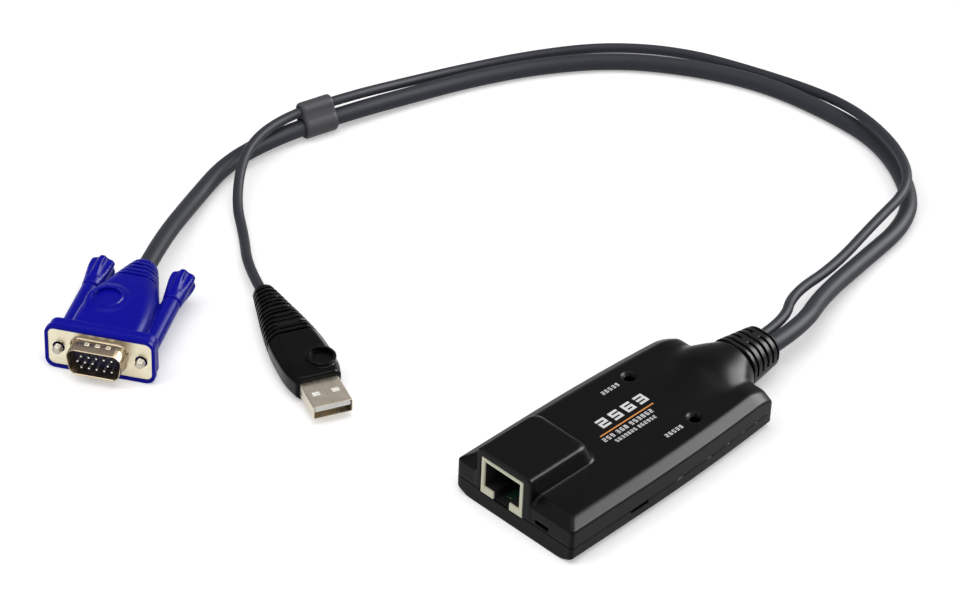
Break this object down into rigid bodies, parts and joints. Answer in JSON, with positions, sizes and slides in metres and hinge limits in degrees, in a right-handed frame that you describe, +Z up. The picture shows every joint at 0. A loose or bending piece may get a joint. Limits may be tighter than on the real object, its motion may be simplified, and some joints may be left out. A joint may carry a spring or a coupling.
{
  "type": "kvm dongle",
  "caption": "Console adapter: a flat black module with a raised network socket, and a cord that forks to a blue screen plug with thumbscrews and a flat computer plug.",
  "frame": {"origin": "middle of the module's underside", "axes": "+Y from the socket face to the cord end of the module, +Z up, the module lies flat"},
  "size_m": [0.2045, 0.2722, 0.0202],
  "materials": {
    "housing": "fine matt black moulding",
    "board": "green board",
    "jack_cream": "cream moulding",
    "contact_gold": "plated spring wire",
    "lamp": "clear lamp, unlit",
    "spacer": "black spacer",
    "chip": "moulded chip",
    "can": "bare can",
    "header": "white header",
    "cores": "soft insulation",
    "boot": "soft satin moulding",
    "cord": "dark grey sheath",
    "sleeve": "dark moulded sleeve",
    "blue": "strong blue moulding",
    "nickel": "plated pressed steel",
    "navy": "dark blue insert",
    "knob_blue": "blue moulded grip",
    "screw_steel": "plated screw",
    "plug_black": "satin black moulding",
    "insert_white": "white insert"
  },
  "bodies": {
    "dongle": {"upper_shell": "housing", "lower_shell": "housing", "circuit_board": "board", "rj45_jack": "jack_cream", "jack_contacts": "contact_gold", "usb_contacts": "contact_gold", "vga_pins": "contact_gold", "online_led": "lamp", "power_led": "lamp", "led_spacers": "spacer", "controller_chip": "chip", "video_driver_chip": "chip", "crystal_can": "can", "capacitors": "can", "cable_header": "header", "cable_cores": "cores", "strain_relief_boot": "boot", "vga_cable": "cord", "usb_cable": "cord", "cable_sleeve": "sleeve", "vga_hood": "blue", "vga_shell": "nickel", "usb_shell": "nickel", "vga_insulator": "navy", "usb_hood": "plug_black", "usb_tongue": "insert_white"},
    "left_thumbscrew": {"left_thumbscrew_knob": "knob_blue", "left_thumbscrew_shaft": "screw_steel"},
    "right_thumbscrew": {"right_thumbscrew_knob": "knob_blue", "right_thumbscrew_shaft": "screw_steel"}
  },
  "joints": [
    {"name": "left_thumbscrew_turn", "type": "hinge", "parent": "dongle", "child": "left_thumbscrew", "pos_m": [-0.13955, -0.08831, 0.0076], "axis": [0.5138, -0.8579, 0], "continuous": true},
    {"name": "right_thumbscrew_turn", "type": "hinge", "parent": "dongle", "child": "right_thumbscrew", "pos_m": [-0.11811, -0.07547, 0.0076], "axis": [0.5138, -0.8579, 0], "continuous": true}
  ]
}
